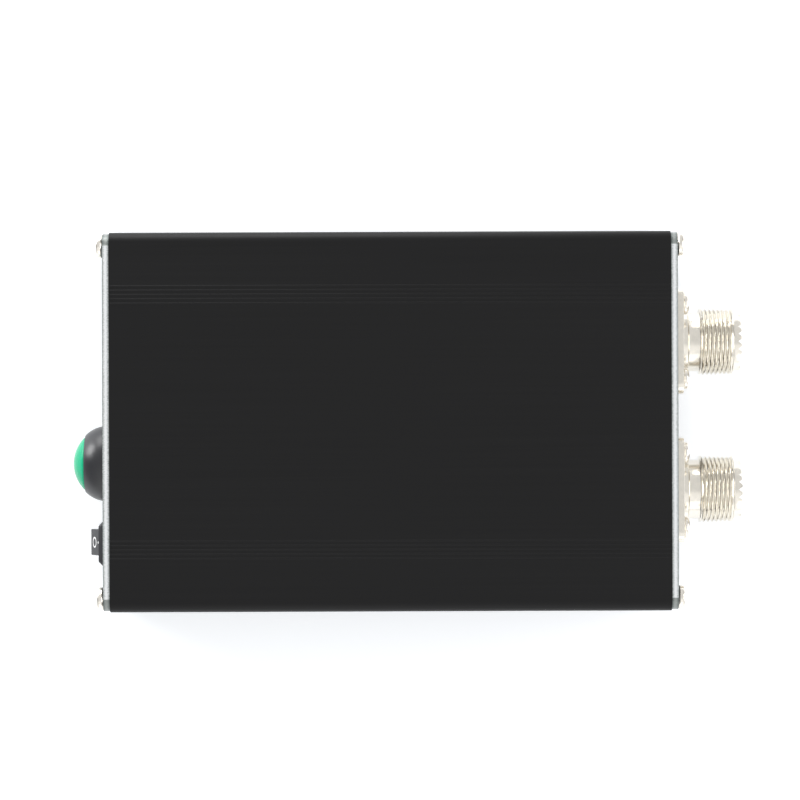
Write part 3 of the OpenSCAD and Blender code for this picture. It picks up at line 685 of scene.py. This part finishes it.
def barrel_profile(start, end, outer, mouth):
    """The section of a socket's body from its spigot inside the case to its mouth."""
    flange_top = rear_face + FLANGE_T
    steps = round((end - start) / THREAD_PITCH * 12)
    profile = [
        (MOUTH_R, rear_face - SPIGOT_L),
        (SPIGOT_R, rear_face - SPIGOT_L),
        (SPIGOT_R, rear_face + 0.4 * MM),
        (SPIGOT_R, flange_top - 0.1 * MM),
        (COLLAR_R, flange_top - 0.1 * MM),
        (COLLAR_R, flange_top + COLLAR_L - 0.2 * MM),
        (COLLAR_R - 0.2 * MM, flange_top + COLLAR_L),
        (NECK_R, flange_top + COLLAR_L + 0.1 * MM),
        (NECK_R, start - 0.3 * MM),
        (NECK_R + 0.1 * MM, start - 0.02 * MM),
    ]
    profile += [(outer, start + (end - start) * k / steps) for k in range(steps + 1)]
    profile += [
        (NECK_R + 0.1 * MM, end + 0.05 * MM),
        (NECK_R, end + 0.3 * MM),
        (NECK_R, mouth - 0.25 * MM),
        (NECK_R - 0.2 * MM, mouth),
        (MOUTH_R + 0.2 * MM, mouth),
        (MOUTH_R, mouth - 0.2 * MM),
    ]
    return profile


def notch_tool(centre, angle):
    """A wedge that cuts one V notch into a socket's mouth."""
    out = Vector((math.cos(angle), 0, math.sin(angle)))
    side = Vector((-math.sin(angle), 0, math.cos(angle)))
    above = Vector((0, 0.2 * MM, 0))
    bm = bmesh.new()
    rings = []
    for r in (MOUTH_R - 0.5 * MM, NECK_R + 0.5 * MM):
        rings.append([
            bm.verts.new(centre + out * r + side * NOTCH_HALF + above),
            bm.verts.new(centre + out * r - side * NOTCH_HALF + above),
            bm.verts.new(centre + out * r - Vector((0, NOTCH_DEPTH, 0))),
        ])
    loft(bm, rings)
    return from_bmesh("notch", bm)


def socket_shell(name, node, mount):
    """A threaded barrel with a notched mouth."""
    x, y_mid, z = mount["pos_m"]
    outer = mount["dims"]["r_mm"] * MM
    half = mount["dims"]["length_mm"] * MM / 2
    start = y_mid - half
    end = y_mid + half
    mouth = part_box(node)[1].y
    profile = barrel_profile(start, end, outer, mouth)
    bm = bmesh.new()
    lathe(bm, profile, (x, z), segments=128, radius=thread_radius(start, end, outer))
    barrel = from_bmesh(name + "_barrel", bm, SOCKET)
    centre = Vector((x, mouth, z))
    cut(barrel, *[notch_tool(centre, 2 * math.pi * k / NOTCHES) for k in range(NOTCHES)])
    smooth(barrel, 34)
    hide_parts(node)
    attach(barrel, "case")


def socket_flange(name, mount):
    """The square plate that the screws hold to the panel."""
    x, _, z = mount["pos_m"]
    openings = [hole(0, 0, SPIGOT_R)] + [hole(dx, dz, HOLE_R, 32) for dx, dz in FLANGE_HOLES]
    loops = [moved(loop, x, z) for loop in [rounded_rect(FLANGE_SIDE, FLANGE_SIDE, FLANGE_R)] + openings]
    flange = smooth(plate(name + "_flange", loops, rear_face, rear_face + FLANGE_T, 0.15 * MM, SOCKET), 12)
    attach(flange, "case")


def socket_insulator(name, mount):
    """The insulation between a socket's body and its centre contact."""
    x, _, z = mount["pos_m"]
    low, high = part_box(f"{name}_socket_insulator")
    outer = high.x - x
    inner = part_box(f"{name}_socket_contact")[1].x - x
    profile = [
        (inner, low.y),
        (outer - 0.2 * MM, low.y),
        (outer, low.y + 0.2 * MM),
        (outer, high.y - 0.3 * MM),
        (outer - 0.3 * MM, high.y),
        (inner + 0.9 * MM, high.y),
        (inner + 0.7 * MM, high.y - 0.25 * MM),
        (inner, high.y - 0.25 * MM),
    ]
    piece = turned(f"{name}_insulation", profile, (x, z), PTFE, segments=64)
    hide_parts(f"{name}_socket_insulator")
    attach(piece, "case")


def socket_contact(name, mount):
    """The bored centre contact, with a solder cup at its inner end."""
    x, _, z = mount["pos_m"]
    low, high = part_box(f"{name}_socket_contact")
    outer = high.x - x
    bore = MOUNTS[f"{name}_contact"]["dims"]["r_mm"] * MM
    depth = MOUNTS[f"{name}_contact"]["dims"]["length_mm"] * MM
    shoulder = low.y + 5 * MM
    profile = [
        (0, low.y + CUP_DEPTH),
        (CUP_BORE_R, low.y + CUP_DEPTH),
        (CUP_BORE_R, low.y),
        (CUP_R, low.y),
        (CUP_R, shoulder),
        (outer, shoulder),
        (outer, high.y - 0.3 * MM),
        (outer - 0.3 * MM, high.y),
        (bore + 0.25 * MM, high.y),
        (bore, high.y - 0.3 * MM),
        (bore, high.y - depth),
        (0, high.y - depth),
    ]
    piece = turned(f"{name}_centre_contact", profile, (x, z), BRASS, segments=64, closed=False)
    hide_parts(f"{name}_socket_contact")
    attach(piece, "case")


def socket_fixings():
    """The four screws of each socket's flange."""
    centres = [
        (mount["pos_m"][0] + dx, mount["pos_m"][2] + dz)
        for mount in SOCKETS.values()
        for dx, dz in FLANGE_HOLES
    ]
    source = pan_screw("screw", FLANGE_HEAD_R, FLANGE_HEAD_H, SCREW_R, SCREW_L, SCREW)
    screw_set("flange_screws", "socket_screws", source, centres, rear_face + FLANGE_T, 1)


# ---- Tune button ----

def button_bezel():
    """The domed bezel, with the barrel that guides the plunger behind it."""
    low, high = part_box("button_body")
    x, z = centre_of("button_body")
    bezel_r = high.x - x
    cap_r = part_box("button_cap")[1].x - x
    recess_r = cap_r + 0.15 * MM
    barrel_r = 5.9 * MM
    bore_r = 4.7 * MM
    guide_r = 2.56 * MM
    bezel_h = front_face - low.y
    skirt = 0.5 * MM
    dome = 7.75 * MM
    dome_points = []
    for k in range(17):
        h = (bezel_h - skirt) * (1 - k / 16)
        dome_points.append((bezel_r * math.sqrt(1 - (h / dome) ** 2), front_face - h - skirt))
    profile = [
        (guide_r, front_face - 0.8 * MM),
        (recess_r, front_face - 0.8 * MM),
        (recess_r, low.y + 0.08 * MM),
    ] + dome_points + [
        (bezel_r, front_face),
        (barrel_r, front_face),
        (barrel_r, high.y),
        (bore_r, high.y),
        (bore_r, front_face + 2.2 * MM),
        (guide_r, front_face + 2.2 * MM),
    ]
    body = turned("button_bezel", profile, (x, z), BEZEL, segments=128)
    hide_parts("button_body")
    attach(body, "case")


def button_cap():
    """The crowned green cap."""
    low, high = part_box("button_cap")
    x, z = centre_of("button_body")
    cap_r = high.x - x
    crown = 2.6 * MM
    ball = (cap_r ** 2 + crown ** 2) / (2 * crown)
    top = low.y
    profile = [(0, top)]
    for k in range(1, 20):
        r = (cap_r - 0.12 * MM) * k / 19
        profile.append((r, top + ball - math.sqrt(ball ** 2 - r ** 2)))
    profile += [
        (cap_r - 0.03 * MM, top + crown + 0.02 * MM),
        (cap_r, top + crown + 0.12 * MM),
        (cap_r, high.y - 0.1 * MM),
        (cap_r - 0.1 * MM, high.y),
        (0, high.y),
    ]
    cap = turned("button_dome", profile, (x, z), GREEN, segments=128, closed=False)
    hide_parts("button_cap")
    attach(cap, "tune_button")


def return_spring():
    """The coil spring behind the button, built at one length only; it is not closed up as the button goes in."""
    low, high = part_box("button_spring")
    x, z = centre_of("button_spring")
    wire_r = 0.25 * MM
    coil_r = high.x - x - wire_r
    turns = 6
    steps = 32
    sides = 10
    climb = (high.y - low.y - 2 * wire_r) / (turns * steps)
    bm = bmesh.new()
    rings = []
    for i in range(turns * steps + 1):
        out = Matrix.Rotation(-2 * math.pi * i / steps, 3, "Y") @ Vector((1, 0, 0))
        centre = Vector((x, low.y + wire_r + climb * i, z)) + coil_r * out
        ring = []
        for k in range(sides):
            b = 2 * math.pi * k / sides
            ring.append(bm.verts.new(centre + (math.cos(b) * out + Vector((0, math.sin(b), 0))) * wire_r))
        rings.append(ring)
    loft(bm, rings)
    spring = smooth(from_bmesh("button_coil", bm, NUT), 60)
    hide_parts("button_spring")
    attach(spring, "case")
    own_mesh(spring)


# ---- Power rocker ----

ROCKER = JOINTS["rocker_tilt"]
PIVOT = Vector(ROCKER["pos_m"])
HALF_SWING = math.radians(ROCKER["range_deg"][1] / 2)
LEVER_W = 6.2 * MM
LEVER_FACE = 2.65 * MM
LEVER_TIP = 5.7 * MM


def rocker_housing():
    """The chamfered bezel and the box behind it, hollow where the lever sits."""
    low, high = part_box("rocker_housing")
    x = (low.x + high.x) / 2
    w = high.x - low.x
    h = 15.2 * MM
    hole_w = 6.8 * MM
    hole_h = 13.4 * MM
    body = (9 * MM, 14.2 * MM, 0.4 * MM)
    bm = bmesh.new()

    def ring(width, height, r, y):
        return [bm.verts.new((px + x, y, pz + mid_z)) for px, pz in rounded_rect(width, height, r, 6)]

    loft(bm, [
        ring(hole_w, hole_h, 0.3 * MM, high.y - 1.4 * MM),
        ring(hole_w, hole_h, 0.3 * MM, low.y + 0.3 * MM),
        ring(hole_w + 0.2 * MM, hole_h + 0.2 * MM, 0.4 * MM, low.y),
        ring(w - 2.6 * MM, h - 1.3 * MM, 0.5 * MM, low.y),
        ring(w - 2.3 * MM, h - 1.1 * MM, 0.6 * MM, low.y + 0.1 * MM),
        ring(w - 0.2 * MM, h - 0.1 * MM, 1.1 * MM, front_face - 0.85 * MM),
        ring(w, h, 1.2 * MM, front_face - 0.7 * MM),
        ring(w, h, 1.2 * MM, front_face),
        ring(*body, front_face),
        ring(*body, high.y),
    ])
    housing = smooth(from_bmesh("rocker_frame", bm, BLACK), 35)
    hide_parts("rocker_housing")
    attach(housing, "case")


def rocker_lever():
    """The lever, two flat faces that meet over its axle; the rest position has its lower end out."""
    rise = (LEVER_FACE + LEVER_TIP * math.sin(HALF_SWING)) / math.cos(HALF_SWING)
    outline = [
        (0, LEVER_FACE / math.cos(HALF_SWING)),
        (LEVER_TIP, rise),
        (6.4 * MM, 1.0 * MM),
        (3.4 * MM, -1.6 * MM),
        (-3.4 * MM, -1.6 * MM),
        (-6.4 * MM, 1.0 * MM),
        (-LEVER_TIP, rise),
    ]
    bm = bmesh.new()
    loft(bm, [[bm.verts.new((sx * LEVER_W / 2, -u, v)) for v, u in outline] for sx in (-1, 1)])
    bmesh.ops.recalc_face_normals(bm, faces=bm.faces)
    round_edges(bm, 0.22 * MM, 3, 15)
    bm.transform(Matrix.Translation(PIVOT) @ Matrix.Rotation(-HALF_SWING, 4, "X"))
    lever = smooth(from_bmesh("rocker_key", bm, LEVER), 30)
    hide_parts("rocker_lever")
    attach(lever, "power_rocker")


def rocker_marks():
    """The off mark, an O, and a dot on the lever's lower face."""
    sunk = -LEVER_FACE - 0.02 * MM
    proud = -LEVER_FACE + 0.08 * MM
    bm = bmesh.new()
    letter = [(1.3 * MM, sunk), (1.3 * MM, proud), (0.95 * MM, proud), (0.95 * MM, sunk)]
    lathe(bm, letter, (0, 0), 40)
    bm.transform(Matrix.Translation((0, 0, -4.3 * MM)) @ Matrix.Diagonal((1, 1, 0.82, 1)))
    dot = [(0, sunk), (0.28 * MM, sunk), (0.28 * MM, proud), (0, proud)]
    lathe(bm, dot, (0, -2.15 * MM), 24)
    bm.transform(Matrix.Translation(PIVOT) @ Matrix.Rotation(-2 * HALF_SWING, 4, "X"))
    marks = smooth(from_bmesh("rocker_marks", bm, MARK), 30)
    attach(marks, "power_rocker")


# ---- Power inlet ----

def power_inlet():
    """The flanged inlet body and the pin in its bore."""
    low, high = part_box("jack_body")
    pin_low, pin_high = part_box("jack_pin")
    x = (low.x + high.x) / 2
    flange_r = high.x - x
    barrel_r = 3.95 * MM
    bore_r = 2.75 * MM
    root_r = pin_high.x - x
    pin_r = MOUNTS["power_pin"]["dims"]["r_mm"] * MM
    floor = high.y - 9.5 * MM
    profile = [
        (root_r, low.y),
        (barrel_r, low.y),
        (barrel_r, rear_face),
        (flange_r, rear_face),
        (flange_r, high.y - 0.3 * MM),
        (flange_r - 0.3 * MM, high.y),
        (bore_r + 0.3 * MM, high.y),
        (bore_r, high.y - 0.3 * MM),
        (bore_r, floor),
        (root_r, floor),
    ]
    body = turned("inlet_body", profile, (x, mid_z), BLACK, segments=64)
    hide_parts("jack_body")
    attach(body, "case")
    tip = [
        (pin_r * math.cos(math.radians(a)), pin_high.y - pin_r * 0.4 * (1 - math.sin(math.radians(a))))
        for a in (0, 30, 60)
    ]
    root = [(0, pin_low.y), (root_r, pin_low.y), (root_r, floor), (pin_r, floor)]
    profile = root + tip + [(0, pin_high.y)]
    pin = turned("inlet_pin", profile, (x, mid_z), SCREW, segments=32, closed=False)
    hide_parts("jack_pin")
    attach(pin, "case")


# ---- Pieces that keep their CAD shape ----

def plain_nodes():
    """Gives every carried-over node its material."""
    slots = {s["node"]: s["material_slot"] for s in frame["record"]["subparts"]}
    looks = {
        "nickel_screws": SCREW,
        "nickel_nuts": NUT,
        "contact_brass": BRASS,
        "tinned_metal": NUT,
        "window_acrylic": WINDOW,
        "display_cell": CELL,
        "blue_board": BLUE_BOARD,
        "green_board": GREEN_BOARD,
        "black_plastic": BLACK,
        "white_plastic": WHITE,
        "wire_insulation": WIRE,
        "copper_wire": COPPER,
        "iron_powder": IRON,
        "ferrite": FERRITE,
        "coax_stub": PTFE,
        "ceramic_caps": CERAMIC,
        "chip_epoxy": BLACK,
        "capacitor_sleeve": SLEEVE,
        "anodised_case": CASE,
        "anodised_panel": PANEL,
        "socket_nickel": SOCKET,
        "socket_insulation": PTFE,
        "green_cap": GREEN,
        "black_gloss": BEZEL,
        "rocker_plastic": LEVER,
    }
    for name, node in frame["nodes"].items():
        node.data.materials.clear()
        node.data.materials.append(looks[slots[name]])


# ---- Setting ----

def aimed(obj, place, target):
    """Puts an object in its place and points it at the target."""
    obj.location = place
    obj.rotation_euler = (Vector(target) - Vector(place)).to_track_quat("-Z", "Y").to_euler()


def softbox(name, place, target, width, height, power):
    """A rectangular lamp that the camera doesn't see."""
    data = bpy.data.lights.new(name, "AREA")
    data.shape = "RECTANGLE"
    data.size = width
    data.size_y = height
    data.energy = power
    light = bpy.data.objects.new(name, data)
    light.visible_camera = False
    bpy.context.scene.collection.objects.link(light)
    aimed(light, place, target)


def pale_floor():
    """A large pale floor that glows faintly, so that it stays near white."""
    bm = bmesh.new()
    bmesh.ops.create_grid(bm, x_segments=1, y_segments=1, size=3.0)
    glow = (0.93, 0.96, 1.0, 1)
    floor_mat = shader("floor", (0.86, 0.87, 0.88), Roughness=0.5, Emission_Color=glow, Emission_Strength=0.4)
    color_by(floor_mat, grain(floor_mat, (3, 3, 3), 2), (0.85, 0.86, 0.875), (0.87, 0.88, 0.885))
    floor = from_bmesh("floor", bm, floor_mat)


def product(tree, one, two):
    """Two node outputs multiplied."""
    node = tree.nodes.new("ShaderNodeMath")
    node.operation = "MULTIPLY"
    tree.links.new(one, node.inputs[0])
    tree.links.new(two, node.inputs[1])
    return node.outputs["Value"]


def sky():
    """A white world, dimmer to the front and the rear and a little brighter to the right."""
    world = bpy.data.worlds.new("studio")
    bpy.context.scene.world = world
    world.use_nodes = True
    tree = world.node_tree
    place = tree.nodes.new("ShaderNodeTexCoord")
    split = tree.nodes.new("ShaderNodeSeparateXYZ")
    tree.links.new(place.outputs["Generated"], split.inputs["Vector"])

    def rise(axis, start, end, low, high):
        level = tree.nodes.new("ShaderNodeMapRange")
        level.interpolation_type = "SMOOTHSTEP"
        level.inputs["From Min"].default_value = start
        level.inputs["From Max"].default_value = end
        level.inputs["To Min"].default_value = low
        level.inputs["To Max"].default_value = high
        tree.links.new(split.outputs[axis], level.inputs["Value"])
        return level.outputs["Result"]

    fall = product(tree, rise("Y", 0.35, 0.9, 1.0, 0.5), rise("Y", -0.35, -0.9, 1.0, 0.5))
    strength = product(tree, rise("X", 0.05, 0.4, 0.8, 1.1), fall)
    tree.links.new(strength, tree.nodes["Background"].inputs["Strength"])
    tree.nodes["Background"].inputs["Color"].default_value = (1.0, 1.0, 1.0, 1)


def studio():
    """The floor, the sky and four soft boxes around the case."""
    pale_floor()
    sky()
    softbox("key", (-0.5, -0.15, 0.14), (0, -0.06, 0.03), 0.4, 0.3, 1.8)
    softbox("fill", (0.5, 0.0, 0.25), (0, 0, 0.02), 0.5, 0.3, 0.3)
    softbox("front", (-0.3, -0.52, 0.15), (0, -0.06, 0.02), 0.26, 0.22, 2.0)
    softbox("rear", (0.0, 0.5, 0.25), (0, 0.05, 0.02), 0.4, 0.3, 1.2)


def camera():
    """Looks straight down onto the ribbed face, the control panel to the left."""
    data = bpy.data.cameras.new("camera")
    data.sensor_width = 36
    distance = 780 * MM
    framed = 184.8 * MM
    data.lens = data.sensor_width * distance / framed
    cam = bpy.data.objects.new("camera", data)
    bpy.context.scene.collection.objects.link(cam)
    top = shell_high.z - RIB_H
    cam.location = (-5.0 * MM, 2.24 * MM, top + distance)
    cam.rotation_euler = (0, 0, math.radians(89.79))
    bpy.context.scene.camera = cam


# ---- Build ----

camera()
studio()
plain_nodes()
case_shell("upper_shell", "top_shell", True)
case_shell("lower_shell", "bottom_shell", False)
end_panel("control_panel", "front_panel", front_openings())
end_panel("socket_panel", "rear_panel", rear_openings())
panel_screws()
for socket_name, socket_mount in SOCKETS.items():
    socket_shell(f"{socket_name}_socket", f"{socket_name}_socket_shell", socket_mount)
    socket_flange(f"{socket_name}_socket", socket_mount)
    socket_insulator(socket_name, socket_mount)
    socket_contact(socket_name, socket_mount)
socket_fixings()
button_bezel()
button_cap()
return_spring()
rocker_housing()
rocker_lever()
rocker_marks()
power_inlet()

bpy.context.scene.view_settings.view_transform = "Standard"
